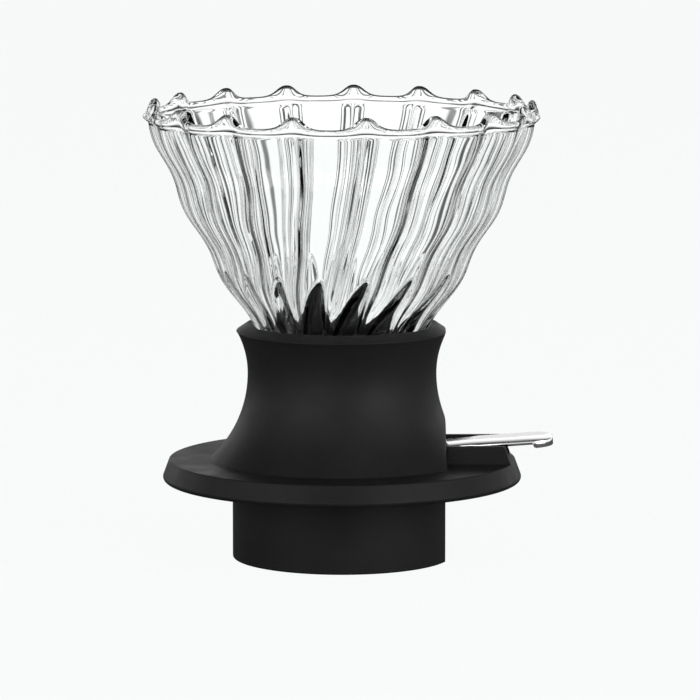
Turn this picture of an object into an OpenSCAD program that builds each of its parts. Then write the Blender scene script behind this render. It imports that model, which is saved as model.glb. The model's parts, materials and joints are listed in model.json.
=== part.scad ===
// Immersion pour-over dripper: fluted glass cone in a black waisted base with
// a ball valve that a steel thumb lever opens. Millimetres, axis on Z, the
// bottom of the locating skirt at Z = 0, lever towards +X.

/* [Overall] */
// outside diameter of the glass rim
rim_d = 119; // [100:0.5:140]
// height from the skirt's bottom edge to the top of the rim's waves
total_h = 138.3; // [120:0.5:160]

/* [Glass cone] */
// number of inward folds round the cone
folds = 17; // [12:1:24]
// depth of a fold just under the rim
fold_depth = 3.4; // [0:0.1:5]
// depth of a fold across the rolled bead of the rim
rim_depth = 1.6; // [0:0.1:5]
// depth of a fold where the glass meets the collar
fold_depth_low = 0.8; // [0:0.1:3]
// wall thickness of the cone between its folds
glass_wall = 1.6; // [1.2:0.1:4]
// how far the thick glass of a fold stands into the cone at the rim
rib_h = 1.5; // [0:0.1:2.5]
// extra thickness of the wall where it enters the collar
foot_t = 2.4; // [0:0.1:3]
// height of a wave of the rim above its troughs
wave_h = 3.5; // [0:0.1:5]
// drift of the folds away from the lever side on their way down, in degrees
drift = 17; // [0:1:30]
// depth of the soft level ripples in the wall
ripple = 0.7; // [0:0.1:1.5]
// direction of one fold at the rim, degrees from +X
fold_start = -83; // [-180:1:180]
// outside diameter of the outlet neck
neck_d = 26; // [20:0.5:32]
// bore of the outlet neck
neck_bore_d = 20; // [14:0.5:26]

/* [Collar] */
// diameter at the waist
waist_d = 56.8; // [50:0.2:70]
// height of the waist
waist_z = 56; // [45:0.5:65]
// radius of the concave side above the waist
flare_top_r = 26.5; // [15:0.5:60]
// radius of the concave side below the waist
flare_low_r = 35.5; // [20:0.5:60]
// height of the outer edge of the top lip
lip_z = 69; // [60:0.5:80]
// height of the inner edge of the top lip
lip_top_z = 70.9; // [62:0.1:82]
// wall thickness of the collar
collar_wall = 3; // [2:0.1:5]

/* [Base] */
// outside diameter of the skirt that locates in the server's mouth
skirt_d = 66; // [50:0.5:80]
// wall thickness of the skirt
skirt_wall = 2.5; // [1.5:0.1:4]
// height of the underside of the flange
flange_z = 23.5; // [10:0.5:40]
// thickness of the flange
flange_t = 6.5; // [3:0.1:12]
// diameter of the flange at its bottom edge
flange_d = 109; // [90:0.5:130]
// diameter of the flange at its top edge
flange_top_d = 104.2; // [86:0.2:126]
// distance of the flat face on the lever side from the axis
flat_x = 31; // [26:0.5:33]
// outside width of the lever channel
channel_w = 26.5; // [22:0.5:32]
// thickness of the channel's side walls
channel_wall = 2.5; // [1.5:0.1:4]
// height of the channel's side walls above the flange
channel_h = 5.3; // [3:0.1:8]

/* [Lever] */
// width of the thumb tab
tab_w = 18; // [12:0.5:22]
// width of the lever where it enters the collar
tab_neck_w = 15; // [10:0.5:20]
// distance of the tab's tip from the axis
tab_tip_x = 63.2; // [56:0.2:72]
// thickness of the steel plate
tab_t = 1.15; // [0.8:0.05:2]
// upward slope of the tab, in degrees
tab_slope = 4; // [0:0.5:10]
// depth of the turned-down lip round the tip
tab_lip = 2.3; // [1:0.1:4]
// distance of the hinge pin from the axis
pivot_x = 25; // [22:0.5:26]
// height of the hinge pin
pivot_z = 30.6; // [30:0.1:32]
// diameter of the hinge pin
pin_d = 2.5; // [2:0.1:3]
// radial clearance of a running fit
run_gap = 0.05; // [0.01:0.01:0.1]

/* [Valve] */
// diameter of the valve ball
ball_d = 15; // [12:0.5:17]
// diameter of the hole that the ball closes
seat_hole_d = 11; // [8:0.5:13]
// height of the seat's upper face
seat_z = 38; // [37:0.1:39]
// thickness of the silicone seat
seat_t = 2.5; // [1.5:0.1:3]
// bore of the drain spout
spout_bore_d = 13; // [8:0.5:14]

/* [Hidden] */
$fn = 96;
e = 0.01;
gap = 0.4;
pitch = 360 / folds;
pts = [-0.5, -0.24, -0.1, 0, 0.1, 0.24];
n_round = folds * len(pts);
flange_top = flange_z + flange_t;
pan_z = flange_top - 3.2;
bead_r = 0.95;
bulb = 0.7;
rim_soft = 0.35;
outer_soft = 0.15;
inner_soft = 0.2;
inner_ripple = 0.85;
rib_w = 0.12;
rib_start = 14;
foot_z = 16;
foot_slant = 4;
foot_dip = 20;
foot_blend = 12;
cone_low_r = 27;
cone_belly = 9.1;
rim_step = 1.5;
rim_fade = 9;
crest_wide = 0.35;
crest_w = 0.17;
ripple_turns = 2.9;
ripple_phase = 42;
fold_end_z = 60;
trough_z = total_h - wave_h;
bead_z = trough_z - bead_r;
cone_low_z = 70.5;
cone_span = 61.5;
neck_low_z = 41.1;
neck_top_z = 50;
seal_z = 39.6;
socket_r = neck_d / 2 + gap;
cradle_r = 16;
lip_r = 28.4;
glass_gap = 0.35;
window_w = 21;
window_h = 6.2;
ball_z = seat_z + sqrt(pow(ball_d, 2) - pow(seat_hole_d, 2)) / 2 + run_gap;
finger_r = 2.5;
finger_z = ball_z - ball_d / 2 - 0.15 - finger_r;
arm_low_z = 28.4;
arm_top_z = 30.8;
arm_w = 7;
hub_r = 2.4;
hub_w = 18;
ear_t = 2.8;
ear_r = 3;
washer_t = 0.5;
ear_y = hub_w / 2 + washer_t + 0.1;
leg_r = 20.5;
leg_angles = [60, 180, 300];
boss_r = 26.2;
boss_angles = [45, 135, 225, 315];
screw_r = 1.25;
spout_r = spout_bore_d / 2 + 3;
rivet_x = 22.4;
rivet_y = 4.8;
rivet_r = 1;
arm_end_x = 20.5;
shoulder_x = 41;
tab_ref_x = 50.4;
tab_ref_z = 36.05;

// points of an arc in a profile
function arc(x, y, r, from, to, steps = 6) = [for (i = [0 : steps])
    let (a = from + (to - from) * i / steps) [x + r * cos(a), y + r * sin(a)]];

// ---------- glass ----------

// radius of the outside of the cone on the broad panels
function bell(u, level) = (1 - u) * cone_low_r + u * (rim_d / 2 - rim_step) + cone_belly * u * (1 - u)
    - level * ripple * sin(360 * ripple_turns * u + ripple_phase);
function cone_r(z, level = 1) = z >= cone_low_z ? bell((z - cone_low_z) / cone_span, level)
    : z <= neck_top_z ? neck_d / 2
    : neck_d / 2 + (bell(0, level) - neck_d / 2) * (z - neck_top_z) / (cone_low_z - neck_top_z);
// 0 at the rim, 1 at the collar
function down(z) = min(1, max(0, (bead_z - z) / (bead_z - cone_low_z)));
// 0 at the end of the folds inside the collar, 1 at the collar's lip
function fade(z) = max(0, (z - fold_end_z) / (cone_low_z - fold_end_z));
function fold_d(z) = let (
        t = min(1, max(0, 1 - (bead_z - z) / rim_fade)),
        deep = fold_depth_low + (fold_depth - fold_depth_low) * pow(1 - down(z), 1.2))
    z < cone_low_z ? fold_depth_low * fade(z) : deep + (rim_depth - deep) * t * t * (3 - 2 * t);
// 1 at the crease of a fold, 0 at the middle of a panel; the panels between are arcs
function crease(s, soft) = let (top = sqrt(1 + soft * soft))
    (top - sqrt(pow(sin(180 * s), 2) + soft * soft)) / (top - soft);
function softness(z, soft) = soft + (rim_soft - soft) * min(1, max(0, 1 - (trough_z - z) / 4));
// bumps of the rim, one over each fold
function crest(s) = crest_wide * pow((1 + cos(360 * s)) / 2, 1.5)
    + (1 - crest_wide) * exp(-pow(abs(s) / crest_w, 2.6));
// thick glass along the inside of each fold
function rib(s) = exp(-pow(sin(180 * s) / (PI * rib_w), 2));
function rib_z(z) = let (t = min(1, max(0, (z - cone_low_z) / rib_start)))
    rib_h * t * t * (3 - 2 * t) * (1 - 0.3 * down(z));
// thick foot of the wall near the collar: its upper edge climbs across each panel
function foot(z, s) = let (
        edge = cone_low_z + foot_z - foot_slant * sin(360 * s)
            - foot_dip * pow((1 + cos(360 * s)) / 2, 1.5),
        t = min(1, max(0, 1 - (edge - z) / foot_blend)))
    z < cone_low_z ? 0 : foot_t * (1 - t * t);

function ring(z, r, lift, soft, rib_t, foot_share) = [for (k = [0 : folds - 1], s = pts)
    let (rim_a = fold_start + (k + s) * pitch,
         a = rim_a + drift * sin(rim_a) * pow(down(z), 2),
         q = r - fold_d(z) * crease(s, soft) - rib_t * rib(s) - foot_share * foot(z, s))
    [q * cos(a), q * sin(a), z + lift * wave_h * crest(s)]];
function bead_ring(turn) = [for (k = [0 : folds - 1], s = pts)
    let (a = fold_start + (k + s) * pitch,
         q = rim_d / 2 - bead_r + (bead_r + bulb * crest(s)) * cos(turn)
            - rim_depth * crease(s, rim_soft))
    [q * cos(a), q * sin(a), bead_z + bead_r * sin(turn) + (1 + sin(turn)) / 2 * wave_h * crest(s)]];

// levels of the rings of the wall
outer_z = [neck_low_z, neck_top_z, 56, 63, cone_low_z, 75, 79.5, 84, 89, 96, 104, 112, 120, 127, 132];
inner_z = [for (i = [len(outer_z) - 1 : -1 : 0]) outer_z[i]];
function inner_r(z) = z <= neck_top_z ? neck_bore_d / 2
    : z < cone_low_z ? neck_bore_d / 2 + (cone_r(cone_low_z) - glass_wall - foot_t - neck_bore_d / 2)
        * (z - neck_top_z) / (cone_low_z - neck_top_z)
    : cone_r(z, inner_ripple) - glass_wall;

module glass_cone() {
    rings = concat(
        [for (z = outer_z) ring(z, cone_r(z), 0, softness(z, outer_soft), 0, 0)],
        [for (turn = [-50 : 56 : 230]) bead_ring(turn)],
        [for (z = inner_z) ring(z, inner_r(z), 0, softness(z, inner_soft), rib_z(z), 1)]);
    m = len(rings);
    points = [for (r = rings) each r];
    faces = [for (i = [0 : m - 1], j = [0 : n_round - 1])
        let (a = i * n_round + j, b = i * n_round + (j + 1) % n_round,
             c = ((i + 1) % m) * n_round + (j + 1) % n_round, d = ((i + 1) % m) * n_round + j)
        each [[a, d, c], [a, c, b]]];
    color([0.9, 0.94, 0.95, 0.45]) polyhedron(points, faces, convexity = 8);
}

// ---------- collar ----------

// outer radius of the concave side: an arc above the waist and one below it
function side_r(z) = let (big = z > waist_z ? flare_top_r : flare_low_r)
    waist_d / 2 + big - sqrt(big * big - pow(z - waist_z, 2));

module concave_side() {
    steps = 18;
    polygon(concat([[0, lip_top_z], [0, flange_top]],
        [for (i = [0 : steps]) let (z = flange_top + (lip_z - flange_top) * i / steps) [side_r(z), z]],
        [[lip_r, lip_top_z]]));
}

// the space inside, with the grip that holds the glass at its top
module collar_hollow() {
    steps = 10;
    low_z = flange_top - 1;
    top_z = 64;
    grip_z = 65.4;
    polygon(concat([[0, low_z]],
        [for (i = [0 : steps]) let (z = low_z + (top_z - low_z) * i / steps) [side_r(z) - collar_wall, z]],
        [[cone_r(grip_z) + glass_gap, grip_z], [cone_r(lip_z) + glass_gap, lip_z],
         [lip_r - 0.3, lip_top_z + 0.2], [0, lip_top_z + 0.2]]));
}

module silicone_collar() {
    color([0.09, 0.09, 0.095]) difference() {
        intersection() {
            rotate_extrude() concave_side();
            translate([-60, -60, flange_top]) cube([60 + flat_x + 0.2, 120, 60]);
        }
        intersection() {
            rotate_extrude() collar_hollow();
            translate([-60, -60, 0]) cube([60 + flat_x - 2.5, 120, 120]);
        }
        // window for the lever
        translate([20, -window_w / 2, flange_top - 1]) cube([20, window_w, window_h + 1]);
    }
}

// ---------- inner frame and valve ----------

module cone_cradle() {
    top_z = 64;
    color([0.13, 0.13, 0.14]) difference() {
        union() {
            rotate_extrude() polygon([
                [cradle_r, seat_z - seat_t], [cradle_r, 50], [cone_r(52) + gap + 2.2, 52],
                [cone_r(top_z) + gap + 2.2, top_z], [cone_r(top_z) + gap, top_z],
                [cone_r(51) + gap, 51], [socket_r, 50.2], [socket_r, seal_z], [10.4, seal_z],
                [10.4, seat_z], [14, seat_z], [14, seat_z - seat_t]]);
            for (a = leg_angles) rotate(a) {
                translate([leg_r, 0, pan_z]) cylinder(r = 3, h = 50 - pan_z);
                translate([15, -1.5, seat_z - seat_t]) cube([leg_r - 15, 3, 14]);
            }
        }
        for (a = leg_angles) rotate(a)
            translate([leg_r, 0, pan_z - 1]) cylinder(r = screw_r + run_gap, h = 13);
    }
}

module neck_seal() {
    color([0.75, 0.76, 0.76]) translate([0, 0, seal_z]) difference() {
        cylinder(r = socket_r - 0.1, h = neck_low_z - seal_z - 0.05);
        translate([0, 0, -1]) cylinder(r = 10.4, h = 5);
    }
}

module valve_seat() {
    color([0.75, 0.76, 0.76]) translate([0, 0, seat_z - seat_t]) difference() {
        cylinder(r = 13.95, h = seat_t);
        translate([0, 0, -1]) cylinder(d = seat_hole_d, h = seat_t + 2);
    }
}

module valve_ball() {
    color([0.8, 0.81, 0.82]) translate([0, 0, ball_z]) sphere(d = ball_d);
}

module drain_spout() {
    bore = spout_bore_d / 2;
    color([0.13, 0.13, 0.14]) difference() {
        rotate_extrude() polygon([
            [bore, 6], [spout_r - 1, 6], [spout_r, 8], [spout_r, pan_z], [spout_r + 2.5, pan_z],
            [spout_r + 2.5, 33], [cradle_r, 33], [cradle_r, seat_z - seat_t],
            [bore + 1, seat_z - seat_t], [bore + 1, 27], [bore, 25]]);
        translate([0, -4.4, arm_low_z - 0.6]) cube([20, 8.8, 34.5 - arm_low_z + 0.6]);
    }
}

// ---------- base ----------

module base_flange() {
    rim_b = flange_d / 2;
    lean = (flange_d - flange_top_d) / 2 / flange_t;
    tilt = atan(lean);
    low_edge_r = 1.2;
    top_edge_r = 0.45;
    groove_in = skirt_d / 2 - 0.5;
    groove_out = skirt_d / 2 + 1.2;
    groove_h = 0.4;
    wall_edge_r = 0.5;
    corner_x = channel_wall / 2 - wall_edge_r;
    corner_z = channel_h + 1 - wall_edge_r;
    wall_span = flange_t + channel_h + 1;
    pan_r = 31.5;
    // radius of the sloping rim at a height above the underside
    function slope_r(h) = rim_b - lean * h;
    color([0.075, 0.075, 0.08]) difference() {
        union() {
            rotate_extrude() polygon(concat([
                [spout_r + 0.1, flange_z], [groove_in, flange_z], [groove_in, flange_z + groove_h],
                [groove_out, flange_z + groove_h], [groove_out, flange_z]],
                arc(slope_r(low_edge_r) - low_edge_r / cos(tilt), flange_z + low_edge_r,
                    low_edge_r, -90, tilt),
                arc(slope_r(flange_t - top_edge_r) - top_edge_r / cos(tilt), flange_top - top_edge_r,
                    top_edge_r, tilt, 90),
                [[spout_r + 0.1, flange_top]]));
            // side walls of the lever channel, trimmed to the slope of the rim
            intersection() {
                for (s = [-1, 1])
                    translate([flat_x + 0.5, s * (channel_w - channel_wall) / 2, flange_top - 1])
                    rotate([90, 0, 90]) linear_extrude(30) polygon(concat(
                        [[-channel_wall / 2, 0], [channel_wall / 2, 0]],
                        arc(corner_x, corner_z, wall_edge_r, 0, 90),
                        arc(-corner_x, corner_z, wall_edge_r, 90, 180)));
                translate([0, 0, flange_z])
                    cylinder(r1 = rim_b, r2 = slope_r(wall_span), h = wall_span);
            }
        }
        // pan inside the collar
        intersection() {
            translate([0, 0, pan_z]) cylinder(r = pan_r, h = 20);
            translate([-40, -40, 0]) cube([40 + flat_x - 2.5, 80, 60]);
        }
        translate([flat_x - 4, -10.4, pan_z]) cube([6, 20.8, 10]);
        for (a = leg_angles) rotate(a)
            translate([leg_r, 0, flange_z - 1]) cylinder(r = screw_r + 0.2, h = 20);
        for (a = boss_angles) rotate(a)
            translate([boss_r, 0, flange_z - 1]) cylinder(r = screw_r + 0.2, h = 20);
    }
    // ears that carry the hinge pin
    color([0.075, 0.075, 0.08]) for (s = [-1, 1]) difference() {
        translate([pivot_x, s * (ear_y + ear_t / 2), 0]) union() {
            translate([-ear_r, -ear_t / 2, pan_z - 0.5]) cube([2 * ear_r, ear_t, pivot_z - pan_z + 0.5]);
            translate([0, 0, pivot_z]) rotate([90, 0, 0]) cylinder(r = ear_r, h = ear_t, center = true);
        }
        translate([pivot_x, s * (ear_y + ear_t / 2), pivot_z])
            rotate([90, 0, 0]) cylinder(r = pin_d / 2 + 0.03, h = ear_t + 2, center = true);
    }
}

module server_skirt() {
    out_r = skirt_d / 2;
    in_r = out_r - skirt_wall;
    edge_r = 0.5;
    color([0.06, 0.06, 0.065]) difference() {
        union() {
            intersection() {
                rotate_extrude() polygon(concat(
                    arc(in_r + edge_r, edge_r, edge_r, 180, 270),
                    arc(out_r - edge_r, edge_r, edge_r, 270, 360),
                    [[out_r, flange_z], [in_r, flange_z]]));
                translate([-50, -50, 0]) cube([50 + flat_x, 100, 50]);
            }
            intersection() {
                cylinder(d = skirt_d - 1, h = flange_z);
                translate([flat_x - skirt_wall, -20, 0]) cube([skirt_wall, 40, flange_z]);
            }
            for (a = boss_angles) rotate(a)
                translate([boss_r, 0, 10]) cylinder(r = 3.2, h = flange_z - 10);
            for (a = boss_angles) rotate(a)
                translate([boss_r, -1.2, 10]) cube([5, 2.4, flange_z - 10]);
        }
        for (a = boss_angles) rotate(a)
            translate([boss_r, 0, 12]) cylinder(r = screw_r + run_gap, h = 20);
    }
}

module screw(len_mm) {
    difference() {
        union() {
            cylinder(r = screw_r, h = len_mm);
            translate([0, 0, len_mm]) cylinder(r = 2.6, h = 1.8);
        }
        translate([0, 0, len_mm + 0.9]) for (t = [0, 90]) rotate(t)
            translate([-1.6, -0.3, 0]) cube([3.2, 0.6, 2]);
    }
}

module skirt_screws() {
    color([0.6, 0.6, 0.62]) for (a = boss_angles) rotate(a)
        translate([boss_r, 0, pan_z - 12]) screw(12);
}

module cradle_screws() {
    color([0.6, 0.6, 0.62]) for (a = leg_angles) rotate(a)
        translate([leg_r, 0, flange_z + 12]) rotate([180, 0, 0]) screw(12);
}

// ---------- lever ----------

// places children in the plate's own frame: top face at 0, X outwards
module on_plate() {
    translate([tab_ref_x, 0, tab_ref_z]) rotate([0, -tab_slope, 0]) children();
}
function plate_x(x) = (x - tab_ref_x) / cos(tab_slope);

module tab_outline(inset) {
    tip = plate_x(tab_tip_x) - inset;
    w = tab_w / 2 - inset;
    corner = 6 - inset;
    wide_x = plate_x(shoulder_x);
    translate([wide_x, -w]) square([tip - corner - wide_x, 2 * w]);
    translate([tip - corner - e, -w + corner]) square([corner + e, 2 * (w - corner)]);
    for (s = [-1, 1]) translate([tip - corner, s * (w - corner)]) circle(corner);
}

module lever_plate() {
    in_x = plate_x(arm_end_x);
    wide_x = plate_x(shoulder_x);
    color([0.8, 0.8, 0.8]) on_plate() difference() {
        union() {
            translate([0, 0, -tab_t]) linear_extrude(tab_t) {
                tab_outline(0);
                translate([in_x, -tab_neck_w / 2]) square([wide_x - in_x + 1, tab_neck_w]);
                polygon([[wide_x - 2.5, -tab_neck_w / 2], [wide_x, -tab_w / 2], [wide_x + 1, -tab_w / 2],
                    [wide_x + 1, tab_w / 2], [wide_x, tab_w / 2], [wide_x - 2.5, tab_neck_w / 2]]);
            }
            // turned-down lip round the tip
            translate([0, 0, -tab_lip]) linear_extrude(tab_lip) intersection() {
                difference() {
                    tab_outline(0);
                    tab_outline(tab_t);
                }
                translate([plate_x(57.5), -20]) square([20, 40]);
            }
        }
        for (s = [-1, 1])
            translate([plate_x(rivet_x), s * rivet_y, -3]) cylinder(r = rivet_r + 0.02, h = 5);
    }
}

module lift_arm() {
    color([0.16, 0.16, 0.17]) difference() {
        union() {
            translate([pivot_x, 0, pivot_z]) rotate([90, 0, 0])
                cylinder(r = hub_r, h = hub_w, center = true);
            // pad under the steel plate
            on_plate() translate([plate_x(arm_end_x), -7.4, -tab_t - 2.6])
                cube([6.5, 14.8, 2.6]);
            translate([0, -arm_w / 2, arm_low_z]) cube([pivot_x - 1.5, arm_w, arm_top_z - arm_low_z]);
            translate([0, 0, arm_low_z]) cylinder(d = arm_w, h = arm_top_z - arm_low_z);
            translate([0, 0, arm_low_z]) cylinder(r = finger_r, h = finger_z - arm_low_z);
            translate([0, 0, finger_z]) sphere(r = finger_r);
        }
        translate([pivot_x, 0, pivot_z]) rotate([90, 0, 0])
            cylinder(r = pin_d / 2 + run_gap, h = hub_w + 2, center = true);
        on_plate() for (s = [-1, 1])
            translate([plate_x(rivet_x), s * rivet_y, -6]) cylinder(r = rivet_r + 0.02, h = 8);
    }
}

module arm_rivets() {
    color([0.75, 0.75, 0.75]) on_plate() for (s = [-1, 1]) translate([plate_x(rivet_x), s * rivet_y, 0]) {
        translate([0, 0, -tab_t - 2.5]) cylinder(r = rivet_r, h = tab_t + 2.5 + e);
        translate([0, 0, e]) cylinder(r1 = 1.9, r2 = 1.3, h = 0.8);
    }
}

module pivot_pin() {
    color([0.78, 0.78, 0.78]) difference() {
        translate([pivot_x, 0, pivot_z]) rotate([90, 0, 0])
            cylinder(d = pin_d, h = 2 * (ear_y + ear_t + 1.2), center = true);
        for (s = [-1, 1]) translate([pivot_x, s * (ear_y + ear_t + 0.35), pivot_z])
            rotate([90, 0, 0]) difference() {
                cylinder(r = 3, h = 0.5, center = true);
                cylinder(r = 0.95, h = 1, center = true);
            }
    }
}

module pivot_washers() {
    color([0.85, 0.85, 0.82]) for (s = [-1, 1])
        translate([pivot_x, s * (hub_w / 2 + washer_t / 2 + 0.05), pivot_z]) rotate([90, 0, 0])
            difference() {
                cylinder(r = 2.2, h = washer_t, center = true);
                cylinder(r = pin_d / 2 + run_gap, h = 2, center = true);
            }
}

module pivot_clips() {
    color([0.5, 0.5, 0.5]) for (s = [-1, 1])
        translate([pivot_x, s * (ear_y + ear_t + 0.35), pivot_z]) rotate([90, 0, 0])
            difference() {
                cylinder(r = 2.5, h = 0.4, center = true);
                cylinder(r = 1, h = 1, center = true);
                translate([0, -0.7, -1]) cube([4, 1.4, 2]);
            }
}

glass_cone();
silicone_collar();
cone_cradle();
neck_seal();
valve_seat();
valve_ball();
drain_spout();
base_flange();
server_skirt();
skirt_screws();
cradle_screws();
lever_plate();
lift_arm();
arm_rivets();
pivot_pin();
pivot_washers();
pivot_clips();
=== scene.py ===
"""Immersion pour-over dripper: fluted glass cone in a black waisted base with a steel thumb lever."""

import json
import math

import bmesh
import bpy
import numpy as np
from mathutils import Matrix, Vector


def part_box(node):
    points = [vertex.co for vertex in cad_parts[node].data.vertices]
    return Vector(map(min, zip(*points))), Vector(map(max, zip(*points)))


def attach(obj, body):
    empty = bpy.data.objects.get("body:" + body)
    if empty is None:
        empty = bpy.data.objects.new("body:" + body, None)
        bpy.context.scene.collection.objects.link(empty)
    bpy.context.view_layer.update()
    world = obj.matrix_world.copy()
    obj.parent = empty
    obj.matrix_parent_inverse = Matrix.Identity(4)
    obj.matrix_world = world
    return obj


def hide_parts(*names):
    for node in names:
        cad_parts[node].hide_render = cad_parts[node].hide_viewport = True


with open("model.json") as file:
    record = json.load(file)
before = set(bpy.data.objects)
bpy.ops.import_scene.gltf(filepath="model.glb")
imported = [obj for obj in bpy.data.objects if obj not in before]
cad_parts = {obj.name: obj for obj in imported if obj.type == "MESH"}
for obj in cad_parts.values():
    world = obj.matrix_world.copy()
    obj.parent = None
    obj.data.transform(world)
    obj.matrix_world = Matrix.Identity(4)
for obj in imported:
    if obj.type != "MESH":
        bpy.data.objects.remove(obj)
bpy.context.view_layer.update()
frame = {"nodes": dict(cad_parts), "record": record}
scene = bpy.context.scene
scene.view_settings.view_transform = "Standard"

MM = 0.001

# ---------------------------------------------------------------- camera

# metres, degrees and millimetres of lens
CAMERA_DISTANCE = 1.535
CAMERA_HEIGHT = 0.2725
CAMERA_SIDE = 0.0024
CAMERA_PITCH = 7.78
CAMERA_LENS = 265


def add_camera():
    data = bpy.data.cameras.new("camera")
    data.lens = CAMERA_LENS
    data.sensor_width = 36
    data.clip_end = 50
    camera = bpy.data.objects.new("camera", data)
    camera.location = (CAMERA_SIDE, -CAMERA_DISTANCE, CAMERA_HEIGHT)
    camera.rotation_euler = (math.radians(90 - CAMERA_PITCH), 0, 0)
    scene.collection.objects.link(camera)
    scene.camera = camera


add_camera()

# ---------------------------------------------------------------- mesh helpers


def mesh_object(name, vertices, faces, smooth=True):
    mesh = bpy.data.meshes.new(name)
    mesh.from_pydata(vertices, [], faces)
    mesh.validate()
    for polygon in mesh.polygons:
        polygon.use_smooth = smooth
    piece = bpy.data.objects.new(name, mesh)
    scene.collection.objects.link(piece)
    return piece


def closed_rings(name, rings):
    """A closed tube-like surface: rings of points, the last joined to the first."""
    count, around = len(rings), len(rings[0])
    vertices = [tuple(p) for r in rings for p in r]
    faces = []
    for i in range(count):
        a, b = i * around, (i + 1) % count * around
        for j in range(around):
            k = (j + 1) % around
            faces.append((a + j, a + k, b + k, b + j))
    return mesh_object(name, vertices, faces)


def tidy_mesh(piece, sharp_degrees):
    """Welds points that meet, faces every side outwards and keeps real edges sharp."""
    work = bmesh.new()
    work.from_mesh(piece.data)
    bmesh.ops.remove_doubles(work, verts=work.verts, dist=0.002 * MM)
    bmesh.ops.dissolve_degenerate(work, edges=work.edges, dist=0.002 * MM)
    bmesh.ops.recalc_face_normals(work, faces=work.faces)
    work.to_mesh(piece.data)
    work.free()
    piece.data.set_sharp_from_angle(angle=math.radians(sharp_degrees))


# ---------------------------------------------------------------- materials


def new_material(name, color, roughness, **sockets):
    """A principled material. The plain values sit on the shader's own sockets."""
    material = bpy.data.materials.new(name)
    material.use_nodes = True
    shader = material.node_tree.nodes["Principled BSDF"]
    shader.inputs["Base Color"].default_value = (*color, 1)
    shader.inputs["Roughness"].default_value = roughness
    for socket, value in sockets.items():
        shader.inputs[socket.replace("_", " ")].default_value = value
    return material, shader


def noise(material, scale, detail=3.0, stretch=None):
    """A noise texture in the object's own space, stretched along its axes if asked."""
    nodes, links = material.node_tree.nodes, material.node_tree.links
    place = nodes.new("ShaderNodeTexCoord")
    texture = nodes.new("ShaderNodeTexNoise")
    texture.inputs["Scale"].default_value = scale
    texture.inputs["Detail"].default_value = detail
    if stretch:
        mapping = nodes.new("ShaderNodeMapping")
        mapping.inputs["Scale"].default_value = stretch
        links.new(place.outputs["Object"], mapping.inputs["Vector"])
        links.new(mapping.outputs["Vector"], texture.inputs["Vector"])
    else:
        links.new(place.outputs["Object"], texture.inputs["Vector"])
    return texture


def map_range(material, source, low, high):
    nodes, links = material.node_tree.nodes, material.node_tree.links
    ramp = nodes.new("ShaderNodeMapRange")
    ramp.inputs["From Min"].default_value = 0.3
    ramp.inputs["From Max"].default_value = 0.7
    ramp.inputs["To Min"].default_value = low
    ramp.inputs["To Max"].default_value = high
    links.new(source.outputs["Fac"], ramp.inputs["Value"])
    return ramp.outputs["Result"]


def vary_roughness(material, shader, scale, low, high, stretch=None):
    value = map_range(material, noise(material, scale, stretch=stretch), low, high)
    material.node_tree.links.new(value, shader.inputs["Roughness"])


def vary_color(material, shader, scale, dark, light):
    nodes, links = material.node_tree.nodes, material.node_tree.links
    ramp = nodes.new("ShaderNodeValToRGB")
    ramp.color_ramp.elements[0].position = 0.35
    ramp.color_ramp.elements[1].position = 0.65
    ramp.color_ramp.elements[0].color = (*dark, 1)
    ramp.color_ramp.elements[1].color = (*light, 1)
    links.new(noise(material, scale).outputs["Fac"], ramp.inputs["Fac"])
    links.new(ramp.outputs["Color"], shader.inputs["Base Color"])


def add_bump(material, shader, scale, strength, distance, detail=3.0, stretch=None):
    nodes, links = material.node_tree.nodes, material.node_tree.links
    bump = nodes.new("ShaderNodeBump")
    bump.inputs["Strength"].default_value = strength
    bump.inputs["Distance"].default_value = distance
    texture = noise(material, scale, detail, stretch)
    links.new(texture.outputs["Fac"], bump.inputs["Height"])
    links.new(bump.outputs["Normal"], shader.inputs["Normal"])


def clear_glass():
    material, shader = new_material(
        "clear_glass", (0.985, 0.995, 0.99), 0.0, Transmission_Weight=1.0, IOR=1.47
    )
    add_bump(material, shader, 55, 0.25, 0.0006, detail=1.0)
    return material


def collar_rubber():
    material, shader = new_material(
        "collar_rubber", (0.02, 0.02, 0.0206), 0.5, Specular_IOR_Level=0.15
    )
    vary_color(material, shader, 40, (0.0175, 0.0175, 0.018), (0.0225, 0.0225, 0.0234))
    vary_roughness(material, shader, 90, 0.44, 0.54)
    add_bump(material, shader, 1800, 0.12, 0.0001)
    return material


def base_plastic():
    material, shader = new_material(
        "base_plastic", (0.0165, 0.0165, 0.017), 0.45, Specular_IOR_Level=0.15
    )
    vary_color(material, shader, 50, (0.0145, 0.0145, 0.015), (0.0185, 0.0185, 0.0192))
    vary_roughness(material, shader, 120, 0.42, 0.52)
    add_bump(material, shader, 2200, 0.12, 0.0001)
    return material


def frame_plastic():
    material, shader = new_material("frame_plastic", (0.018, 0.018, 0.019), 0.4, IOR=1.47)
    vary_color(material, shader, 60, (0.015, 0.015, 0.016), (0.021, 0.021, 0.022))
    vary_roughness(material, shader, 80, 0.35, 0.45)
    return material


def seal_rubber():
    material, shader = new_material("seal_rubber", (0.5, 0.51, 0.51), 0.4, Subsurface_Weight=0.2)
    vary_color(material, shader, 60, (0.46, 0.47, 0.47), (0.55, 0.56, 0.56))
    vary_roughness(material, shader, 80, 0.35, 0.45)
    return material


def steel(name, low, high, stretch=None, color=(0.72, 0.72, 0.725)):
    material, shader = new_material(name, color, low, Metallic=1.0)
    vary_color(material, shader, 30, tuple(0.97 * c for c in color), color)
    vary_roughness(material, shader, 300, low, high, stretch)
    return material


def washer_plastic():
    material, shader = new_material("washer_plastic", (0.7, 0.7, 0.67), 0.45)
    vary_color(material, shader, 60, (0.66, 0.66, 0.63), (0.74, 0.74, 0.71))
    vary_roughness(material, shader, 80, 0.4, 0.5)
    return material


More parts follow.
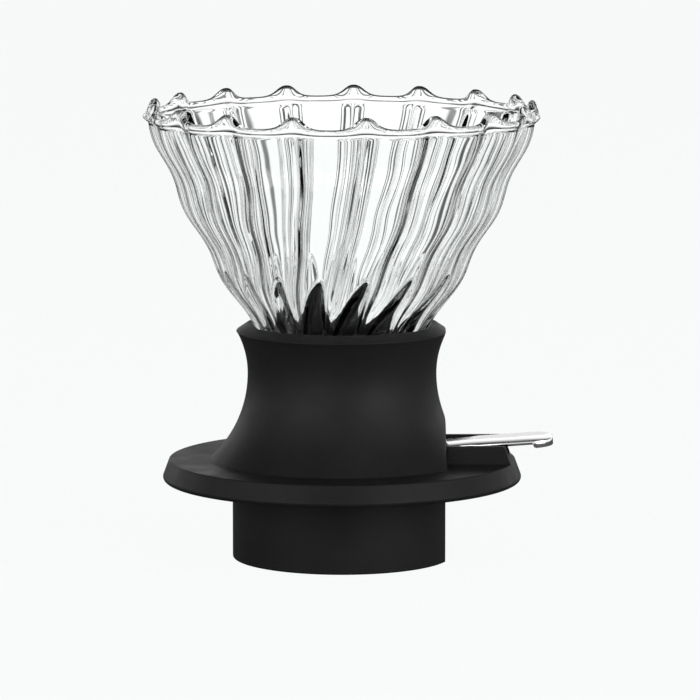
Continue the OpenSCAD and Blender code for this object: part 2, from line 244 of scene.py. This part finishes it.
MATERIALS = {
    "clear_glass": clear_glass(),
    "collar_rubber": collar_rubber(),
    "base_plastic": base_plastic(),
    "frame_plastic": frame_plastic(),
    "seal_rubber": seal_rubber(),
    "ball_steel": steel("ball_steel", 0.06, 0.12),
    "lever_steel": steel("lever_steel", 0.10, 0.16, (1, 12, 12), (0.93, 0.93, 0.935)),
    "screw_steel": steel("screw_steel", 0.22, 0.34, color=(0.56, 0.56, 0.57)),
    "washer_plastic": washer_plastic(),
}
MATERIALS["skirt_plastic"] = MATERIALS["base_plastic"]


def finish_node(node, slot):
    """Gives a CAD node the finish that the record names for it."""
    piece = frame["nodes"][node]
    piece.data.materials.clear()
    piece.data.materials.append(MATERIALS[slot])


for part in frame["record"]["subparts"]:
    finish_node(part["node"], part["material_slot"])

# ---------------------------------------------------------------- glass cone

FOLDS = 17
FOLD_START = -83
FOLD_DEPTH = 3.4 * MM
FOLD_DEPTH_LOW = 0.8 * MM
FOLD_END_Z = 60 * MM
DRIFT = 17
# the folds grow shallow across the bead of the rim, over this height
RIM_DEPTH = 1.6 * MM
RIM_FADE = 9 * MM
# softness of the creases outside, inside and just under the rim
OUTER_SOFT = 0.15
INNER_SOFT = 0.2
RIM_SOFT = 0.35
SOFT_FADE = 4 * MM
# the rim: its bead, the bulbs over the folds and the bumps of its top
RIM_R = 59.5 * MM
BEAD = 0.95 * MM
BEAD_TURN = (-50, 230)
UNDER_BEAD = 1.8 * MM
BULB = 0.7 * MM
WAVE = 3.5 * MM
CREST_WIDE = 0.35
CREST_W = 0.17
# the wall, its level ripples and how much of them the inside repeats
WALL = 1.6 * MM
RIPPLE = 0.7 * MM
RIPPLE_TURNS = 2.9
RIPPLE_PHASE = 42
INNER_RIPPLE = 0.85
# thick glass along the inside of each fold
RIB = 1.5 * MM
RIB_WIDTH = 0.12
RIB_START = 14 * MM
# thick foot near the collar: height of its upper edge, how far that edge climbs across a panel
# and dips at the folds, and the height over which the foot thickens
FOOT = 2.4 * MM
FOOT_Z = 16 * MM
FOOT_SLANT = 4 * MM
FOOT_BLEND = 12 * MM
FOOT_DIP = 20 * MM
PER_FOLD = 36

glass_low, glass_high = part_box("glass_cone")
collar_low, collar_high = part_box("silicone_collar")
TROUGH_Z = glass_high.z - WAVE
BEAD_Z = TROUGH_Z - BEAD
CONE_LOW_Z = collar_high.z - 0.4 * MM
CONE_LOW_R = 27 * MM
CONE_SPAN = 61.5 * MM
CONE_BELLY = 9.1 * MM
RIM_STEP = 1.5 * MM
NECK_LOW_Z = glass_low.z
NECK_TOP_Z = 50 * MM
NECK_R = 13 * MM
NECK_BORE_R = 10 * MM


def bell(u, ripple=1.0):
    """Outer radius of the cone's panels, u from 0 at the collar to 1 near the rim."""
    straight = (1 - u) * CONE_LOW_R + u * (RIM_R - RIM_STEP)
    wave = math.radians(360 * RIPPLE_TURNS * u + RIPPLE_PHASE)
    return straight + CONE_BELLY * u * (1 - u) - ripple * RIPPLE * math.sin(wave)


def cone_r(z, ripple=1.0):
    """Outer radius of the glass at height z, on the panels and down the throat."""
    if z >= CONE_LOW_Z:
        return bell((z - CONE_LOW_Z) / CONE_SPAN, ripple)
    t = max(0.0, (z - NECK_TOP_Z) / (CONE_LOW_Z - NECK_TOP_Z))
    return NECK_R + (bell(0, ripple) - NECK_R) * t


def down(z):
    """0 at the rim, 1 at the collar."""
    return min(1.0, max(0.0, (BEAD_Z - z) / (BEAD_Z - CONE_LOW_Z)))


def fold_depth(z):
    """How far the creases stand in from the panels at height z."""
    if z < CONE_LOW_Z:
        return FOLD_DEPTH_LOW * max(0.0, (z - FOLD_END_Z) / (CONE_LOW_Z - FOLD_END_Z))
    depth = FOLD_DEPTH_LOW + (FOLD_DEPTH - FOLD_DEPTH_LOW) * (1 - down(z)) ** 1.2
    near = min(1.0, max(0.0, 1 - (BEAD_Z - z) / RIM_FADE))
    return depth + (RIM_DEPTH - depth) * near * near * (3 - 2 * near)


def fold_sides():
    """Places round the cone in folds, closer together near each crease."""
    step = np.linspace(-1, 1, PER_FOLD, endpoint=False)
    one = 0.5 * np.sign(step) * np.abs(step) ** 1.7
    return np.concatenate([k + one for k in range(FOLDS)])


SIDE = fold_sides()
NEAREST = np.abs(SIDE - np.round(SIDE))
ROUND = (1 + np.cos(2 * np.pi * SIDE)) / 2
CREST = CREST_WIDE * ROUND**1.5 + (1 - CREST_WIDE) * np.exp(-((NEAREST / CREST_W) ** 2.6))
LOBE = ROUND**1.5
RIB_SHAPE = np.exp(-((np.sin(np.pi * SIDE) / (np.pi * RIB_WIDTH)) ** 2))


def crease(soft):
    """1 at the bottom of a fold, 0 at the middle of a panel; the panels between are arcs."""
    top = math.sqrt(1 + soft**2)
    return (top - np.sqrt(np.sin(np.pi * SIDE) ** 2 + soft**2)) / (top - soft)


def foot(z):
    """Extra thickness near the collar, whose upper edge climbs across each panel."""
    edge = CONE_LOW_Z + FOOT_Z - FOOT_SLANT * np.sin(2 * np.pi * SIDE) - FOOT_DIP * LOBE
    t = np.clip(1 - (edge - z) / FOOT_BLEND, 0, 1)
    return FOOT * (1 - t * t)


def glass_ring(z, r, lift, soft, inside=0.0):
    """A ring of the surface at height z and radius r, raised by lift over each fold."""
    at_rim = np.radians(FOLD_START + SIDE * 360 / FOLDS)
    angle = at_rim + math.radians(DRIFT) * down(z) ** 2 * np.sin(at_rim)
    radius = r - fold_depth(z) * crease(soft) - inside
    height = z + lift * WAVE * CREST
    return np.stack([radius * np.cos(angle), radius * np.sin(angle), height], axis=1)


def inner_r(z):
    """Inner radius of the glass at height z, before the ribs and the foot."""
    if z <= NECK_TOP_Z:
        return NECK_BORE_R
    if z < CONE_LOW_Z:
        t = (z - NECK_TOP_Z) / (CONE_LOW_Z - NECK_TOP_Z)
        return NECK_BORE_R + t * (cone_r(CONE_LOW_Z) - WALL - FOOT - NECK_BORE_R)
    return cone_r(z, INNER_RIPPLE) - WALL


def softness(z, soft):
    """The creases open out into round bulbs just under the rim."""
    t = max(0.0, 1 - (TROUGH_Z - z) / SOFT_FADE)
    return soft + (RIM_SOFT - soft) * min(1.0, t)


def rib_height(z):
    """How far the thick glass of a fold stands into the cone."""
    t = min(1.0, max(0.0, (z - CONE_LOW_Z) / RIB_START))
    return RIB * t * t * (3 - 2 * t) * (0.7 + 0.3 * (1 - down(z)))


def build_glass():
    heights = np.concatenate([
        np.linspace(NECK_LOW_Z, NECK_TOP_Z - 0.5 * MM, 8),
        np.linspace(NECK_TOP_Z, CONE_LOW_Z, 18, endpoint=False),
        np.linspace(CONE_LOW_Z, BEAD_Z - UNDER_BEAD, 90),
    ])
    rings = [glass_ring(z, cone_r(z), 0, softness(z, OUTER_SOFT)) for z in heights]
    center_r = RIM_R - BEAD
    for turn in np.linspace(*BEAD_TURN, 25):
        a = math.radians(turn)
        lift = (1 + math.sin(a)) / 2
        outward = center_r + (BEAD + BULB * CREST) * math.cos(a)
        rings.append(glass_ring(BEAD_Z + BEAD * math.sin(a), outward, lift, RIM_SOFT))
    for z in heights[::-1]:
        inside = rib_height(z) * RIB_SHAPE + (foot(z) if z >= CONE_LOW_Z else 0)
        rings.append(glass_ring(z, inner_r(z), 0, softness(z, INNER_SOFT), inside))
    piece = closed_rings("glass", rings)
    piece.data.materials.append(MATERIALS["clear_glass"])
    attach(piece, "glass")
    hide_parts("glass_cone")


build_glass()

# ---------------------------------------------------------------- collar

WAIST_R = 28.4 * MM
WAIST_Z = 56 * MM
FLARE_TOP_R = 26.5 * MM
FLARE_LOW_R = 35.5 * MM
LIP_Z = 69 * MM
LIP_R = 28.4 * MM
COLLAR_WALL = 3 * MM
GRIP_LOW_Z = 65.4 * MM
HOLLOW_TOP_Z = 64 * MM
FLAT_WALL = 2.7 * MM
WINDOW_TOP_Z = 36.2 * MM
WINDOW_HALF = 10.5 * MM
EDGE_SOFT = 0.25 * MM
GLASS_GAP = 0.35 * MM
# rounding of the lip's two edges
LIP_OUT_R = 0.5 * MM
LIP_IN_R = 0.4 * MM
# slope of the lip's top as the direction its face looks, degrees above outwards
LIP_FACE = 62
# degrees on each side of the lever where the columns stand close together
FINE_SIDE = 40


def side_r(z):
    """Outer radius of the concave side: an arc above the waist and one below it."""
    flare = np.where(z > WAIST_Z, FLARE_TOP_R, FLARE_LOW_R)
    return WAIST_R + flare - np.sqrt(flare**2 - (z - WAIST_Z) ** 2)


def arc_points(center_r, center_z, radius, start, end, steps):
    turn = np.radians(np.linspace(start, end, steps))
    return np.stack([center_r + radius * np.cos(turn), center_z + radius * np.sin(turn)], axis=1)


def collar_profile():
    """The collar's section as (radius, height) pairs, up the outside and down the inside."""
    rise = np.linspace(collar_low.z, LIP_Z - LIP_OUT_R, 70)
    outside = np.stack([side_r(rise), rise], axis=1)
    out_x, out_z = side_r(LIP_Z) - 0.55 * MM, LIP_Z - 0.35 * MM
    lip_out = arc_points(out_x, out_z, LIP_OUT_R, 0, LIP_FACE, 6)
    in_x, in_z = LIP_R + 0.3 * MM, collar_high.z - LIP_IN_R
    lip_in = arc_points(in_x, in_z, LIP_IN_R, LIP_FACE, 170, 8)
    grip_z = np.linspace(collar_high.z - 1.2 * MM, GRIP_LOW_Z, 8)
    grip = np.array([(cone_r(z, 0) + GLASS_GAP, z) for z in grip_z])
    fall = np.linspace(HOLLOW_TOP_Z, collar_low.z, 24)
    inside = np.stack([side_r(fall) - COLLAR_WALL, fall], axis=1)
    return np.concatenate([outside, lip_out, lip_in, grip, inside]), len(outside) + len(lip_out)


def collar_angles():
    """Degrees round the collar, close together across the flat, with a step at the window's sides."""
    side = math.degrees(math.atan(WINDOW_HALF / collar_high.x))
    fine = np.arange(-FINE_SIDE, FINE_SIDE, 0.5)
    coarse = np.arange(FINE_SIDE, 360 - FINE_SIDE, 3)
    edges = np.array([-side - 0.02, -side + 0.02, side - 0.02, side + 0.02])
    return np.sort(np.concatenate([fine, coarse, edges])), side


def soft_min(a, b, blend):
    """The smaller of the two, with the corner between them rounded by blend."""
    return np.minimum(a, b) - blend * np.log1p(np.exp(-np.abs(a - b) / blend))


def build_collar():
    profile, outer_count = collar_profile()
    angles, window = collar_angles()
    columns = []
    for degrees in angles:
        a = math.radians(degrees)
        radius, height = profile[:, 0].copy(), profile[:, 1].copy()
        if math.cos(a) > 0.2:
            flat = collar_high.x / math.cos(a)
            flat_in = (collar_high.x - FLAT_WALL) / math.cos(a)
            radius[:outer_count] = soft_min(radius[:outer_count], flat, EDGE_SOFT)
            radius[outer_count:] = np.minimum(radius[outer_count:], flat_in)
        if abs(degrees) < window:
            height = np.maximum(height, WINDOW_TOP_Z)
        columns.append(np.stack([radius * math.cos(a), radius * math.sin(a), height], axis=1))
    piece = closed_rings("collar", columns)
    tidy_mesh(piece, 38)
    piece.data.materials.append(MATERIALS["collar_rubber"])
    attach(piece, "base")
    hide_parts("silicone_collar")


build_collar()

# ---------------------------------------------------------------- lever

TAB_WIDTH = 18 * MM
NECK_WIDTH = 15 * MM
TAB_CORNER = 6 * MM
TAB_T = 1.15 * MM
TAB_LIP = 2.3 * MM
TAB_SLOPE = math.radians(4)
TAB_REF = Vector((50.4 * MM, 0, 36.05 * MM))
NECK_X = 38.5 * MM
WIDE_X = 41 * MM
LIP_X = 57.5 * MM
EDGE_R = 0.28 * MM

lever_low, lever_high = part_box("lever_plate")


def along_plate(x):
    return (x - TAB_REF.x) / math.cos(TAB_SLOPE)


def tab_outline(inset):
    """The plate's outline drawn in by inset, as points in the plate's own plane."""
    back, tip = along_plate(lever_low.x) + inset, along_plate(lever_high.x) - inset
    wide, narrow = TAB_WIDTH / 2 - inset, NECK_WIDTH / 2 - inset
    corner = TAB_CORNER - inset
    side = [(back, -narrow), (along_plate(NECK_X), -narrow), (along_plate(WIDE_X), -wide)]
    side += [(x, -wide) for x in np.linspace(along_plate(LIP_X - 2 * MM), along_plate(LIP_X), 12)]
    turn = arc_points(tip - corner, -wide + corner, corner, -90, 0, 16)
    half = side + [tuple(p) for p in turn]
    return np.array(half + [(x, -y) for x, y in half[::-1]])


def tab_ring(inset, depth, lip_depth=None):
    """A loop of the plate at one depth, which drops to lip_depth round the tip."""
    outline = tab_outline(inset)
    lip_depth = depth if lip_depth is None else lip_depth
    share = np.clip((outline[:, 0] - along_plate(LIP_X - 0.3 * MM)) / (0.3 * MM), 0, 1)
    drop = depth + (lip_depth - depth) * share
    return [on_plate(x, y, -d) for (x, y), d in zip(outline, drop)]


def on_plate(x, y, z):
    """A point in the plate's own frame, placed in the object's frame."""
    c, s = math.cos(TAB_SLOPE), math.sin(TAB_SLOPE)
    return (TAB_REF.x + x * c - z * s, y, TAB_REF.z + x * s + z * c)


def capped_rings(name, rings):
    """A solid made of a stack of loops with a flat face over each end."""
    around = len(rings[0])
    vertices = [p for ring in rings for p in ring]
    faces = [tuple(range(around))[::-1]]
    for i in range(len(rings) - 1):
        a, b = i * around, (i + 1) * around
        for j in range(around):
            k = (j + 1) % around
            faces.append((a + j, a + k, b + k, b + j))
    faces.append(tuple(range((len(rings) - 1) * around, len(rings) * around)))
    return mesh_object(name, vertices, faces)


def build_lever():
    soft = EDGE_R * (1 - math.sqrt(0.5))
    rings = [
        tab_ring(EDGE_R, 0),
        tab_ring(soft, soft),
        tab_ring(0, EDGE_R),
        tab_ring(0, TAB_T - soft, TAB_LIP - EDGE_R),
        tab_ring(soft, TAB_T, TAB_LIP - soft),
        tab_ring(EDGE_R, TAB_T, TAB_LIP),
        tab_ring(TAB_T - soft, TAB_T, TAB_LIP),
        tab_ring(TAB_T, TAB_T, TAB_LIP - soft),
        tab_ring(TAB_T, TAB_T),
    ]
    piece = capped_rings("thumb_tab", rings)
    tidy_mesh(piece, 50)
    piece.data.materials.append(MATERIALS["lever_steel"])
    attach(piece, "lever")
    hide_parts("lever_plate")


build_lever()

# ---------------------------------------------------------------- studio

PALE = (0.957, 0.973, 0.97)
WORLD_LIGHT = 0.04
# glossy surfaces also see a brighter band low in the room; edges as the sine of elevation
BAND_LIGHT = 1.05
BAND_EDGE = (0.25, 0.5)
# the strips repeat and mirror over this many degrees
STRIP_SPAN = 22.5
DARK = 0.07
THIN_DARK = 0.2
# degrees from the middle of a pale strip, and the brightness there
STRIPS = [
    (3.8, 1),
    (4.3, THIN_DARK),
    (5, THIN_DARK),
    (5.6, 1),
    (7, 1),
    (8, DARK),
    (10, DARK),
    (11, 1),
    (16, 1),
    (17.5, DARK),
]
# brightness of what is seen through glass, to make up for what its surfaces turn away
THROUGH_GLASS = 1.18
# where the sky turns from dark to pale through glass, as the sine of elevation
SKY_DARK = (0.3, 0.14)
# the same for the floor, by how far it faces away from the ray
FLOOR_DARK = (0.46, 0.57)
PAPER_GLOW = 0.97
PAPER_WHITE = 0.06
BOUNCE_WHITE = 0.3


def math_node(nodes, links, operation, first, second):
    node = nodes.new("ShaderNodeMath")
    node.operation = operation
    links.new(first, node.inputs[0])
    links.new(second, node.inputs[1])
    return node.outputs["Value"]


def ramp_node(nodes, links, source, from_low, from_high, to_low=0.0, to_high=1.0):
    node = nodes.new("ShaderNodeMapRange")
    node.inputs["From Min"].default_value = from_low
    node.inputs["From Max"].default_value = from_high
    node.inputs["To Min"].default_value = to_low
    node.inputs["To Max"].default_value = to_high
    links.new(source, node.inputs["Value"])
    return node.outputs["Result"]


def light_strips(nodes, links, vector):
    """Brightness of the surroundings round the object: dark strips stand between pale ones."""
    split = nodes.new("ShaderNodeSeparateXYZ")
    links.new(vector, split.inputs["Vector"])
    angle = math_node(nodes, links, "ARCTAN2", split.outputs["Y"], split.outputs["X"])
    fold = nodes.new("ShaderNodeMath")
    fold.operation = "PINGPONG"
    fold.inputs[1].default_value = math.radians(STRIP_SPAN)
    links.new(angle, fold.inputs[0])
    share = ramp_node(nodes, links, fold.outputs["Value"], 0, math.radians(STRIP_SPAN))
    ramp = nodes.new("ShaderNodeValToRGB")
    stops = ramp.color_ramp.elements
    stops[0].position = 0
    stops[0].color = (1, 1, 1, 1)
    stops[1].position = 1
    stops[1].color = (DARK, DARK, DARK, 1)
    for degrees, level in STRIPS:
        stop = stops.new(degrees / STRIP_SPAN)
        stop.color = (level, level, level, 1)
    links.new(share, ramp.inputs["Fac"])
    return ramp.outputs["Color"]


def glass_boost(nodes, links, direct):
    """Strength of a backdrop: direct for the camera, THROUGH_GLASS for rays that left the glass."""
    path = nodes.new("ShaderNodeLightPath")
    return ramp_node(nodes, links, path.outputs["Is Transmission Ray"], 0, 1, direct, THROUGH_GLASS)


def seen_share(nodes, links, low, vector):
    """1 for a ray from the camera, and the strips' brightness for a ray that left the glass."""
    path = nodes.new("ShaderNodeLightPath")
    bright = math_node(nodes, links, "MULTIPLY", low, light_strips(nodes, links, vector))
    through = math_node(nodes, links, "MULTIPLY", bright, path.outputs["Is Transmission Ray"])
    return math_node(nodes, links, "MAXIMUM", path.outputs["Is Camera Ray"], through)


def mix_to_output(nodes, links, share, plain, seen, output):
    """Sends plain to the output, with seen in its place as far as share says."""
    mix = nodes.new("ShaderNodeMixShader")
    links.new(share, mix.inputs["Fac"])
    links.new(plain, mix.inputs[1])
    links.new(seen, mix.inputs[2])
    links.new(mix.outputs["Shader"], output.inputs["Surface"])


def background(nodes, links, color, strength):
    node = nodes.new("ShaderNodeBackground")
    node.inputs["Color"].default_value = (*color, 1)
    links.new(strength, node.inputs["Strength"])
    return node.outputs["Background"]


def room_strength(nodes, links, height):
    """The room's own light: dim, with the brighter low band for glossy rays."""
    path = nodes.new("ShaderNodeLightPath")
    band = ramp_node(nodes, links, height, *BAND_EDGE, WORLD_LIGHT + BAND_LIGHT, WORLD_LIGHT)
    glossy = nodes.new("ShaderNodeMix")
    glossy.inputs["A"].default_value = WORLD_LIGHT
    links.new(path.outputs["Is Glossy Ray"], glossy.inputs["Factor"])
    links.new(band, glossy.inputs["B"])
    return glossy.outputs["Result"]


def build_world():
    """A pale backdrop for what is seen directly or through glass, and a dimmer one to light by."""
    world = bpy.data.worlds.new("studio")
    world.use_nodes = True
    nodes, links = world.node_tree.nodes, world.node_tree.links
    nodes.clear()
    place = nodes.new("ShaderNodeTexCoord")
    split = nodes.new("ShaderNodeSeparateXYZ")
    links.new(place.outputs["Generated"], split.inputs["Vector"])
    lighting = background(nodes, links, (1, 1, 1), room_strength(nodes, links, split.outputs["Z"]))
    backdrop = background(nodes, links, PALE, glass_boost(nodes, links, 1))
    low = ramp_node(nodes, links, split.outputs["Z"], *SKY_DARK)
    share = seen_share(nodes, links, low, place.outputs["Generated"])
    output = nodes.new("ShaderNodeOutputWorld")
    mix_to_output(nodes, links, share, lighting, backdrop, output)
    scene.world = world


def diffuse(nodes, level):
    node = nodes.new("ShaderNodeBsdfDiffuse")
    node.inputs["Color"].default_value = (level, level, level, 1)
    return node.outputs["BSDF"]


def lit_paper(nodes, links):
    """A pale glow that still takes a little light and shadow."""
    glow = nodes.new("ShaderNodeEmission")
    glow.inputs["Color"].default_value = (*PALE, 1)
    links.new(glass_boost(nodes, links, PAPER_GLOW), glow.inputs["Strength"])
    both = nodes.new("ShaderNodeAddShader")
    links.new(glow.outputs["Emission"], both.inputs[0])
    links.new(diffuse(nodes, PAPER_WHITE), both.inputs[1])
    return both.outputs["Shader"]


def floor_paper():
    """Pale lit paper. Seen through glass it glows brightly at low angles only: painted shade darkens
    it where a ray through the glass meets it steeply, and painted dark strips cross it.
    """
    material = bpy.data.materials.new("floor_paper")
    material.use_nodes = True
    nodes, links = material.node_tree.nodes, material.node_tree.links
    nodes.clear()
    place = nodes.new("ShaderNodeNewGeometry")
    tilt = nodes.new("ShaderNodeLayerWeight")
    low = ramp_node(nodes, links, tilt.outputs["Facing"], *FLOOR_DARK)
    share = seen_share(nodes, links, low, place.outputs["Position"])
    output = nodes.new("ShaderNodeOutputMaterial")
    mix_to_output(nodes, links, share, diffuse(nodes, BOUNCE_WHITE), lit_paper(nodes, links), output)
    return material


def build_floor():
    steps = 96
    radius = 6.0
    points = [
        (radius * math.cos(2 * math.pi * i / steps), radius * math.sin(2 * math.pi * i / steps), 0)
        for i in range(steps)
    ]
    floor = mesh_object("floor", points, [tuple(range(steps))], smooth=False)
    floor.data.materials.append(floor_paper())


def area_light(name, azimuth, elevation, distance, width, height, power):
    """A soft panel that faces the cone's middle; azimuth 0 is the front, 90 the lever side."""
    data = bpy.data.lights.new(name, "AREA")
    data.shape = "RECTANGLE"
    data.size = width
    data.size_y = height
    data.energy = power
    light = bpy.data.objects.new(name, data)
    a, e = math.radians(azimuth), math.radians(elevation)
    aim = Vector((0, 0, 0.07))
    offset = Vector((math.sin(a) * math.cos(e), -math.cos(a) * math.cos(e), math.sin(e)))
    light.location = aim + distance * offset
    light.rotation_euler = (-offset).to_track_quat("-Z", "Y").to_euler()
    scene.collection.objects.link(light)


build_world()
build_floor()
area_light("left_panel", -42, 8, 1.1, 1.1, 1.0, 6)
area_light("right_panel", 46, 8, 1.1, 1.1, 1.0, 8.5)
area_light("top_panel", 180, 75, 1.2, 1.2, 1.2, 1.5)
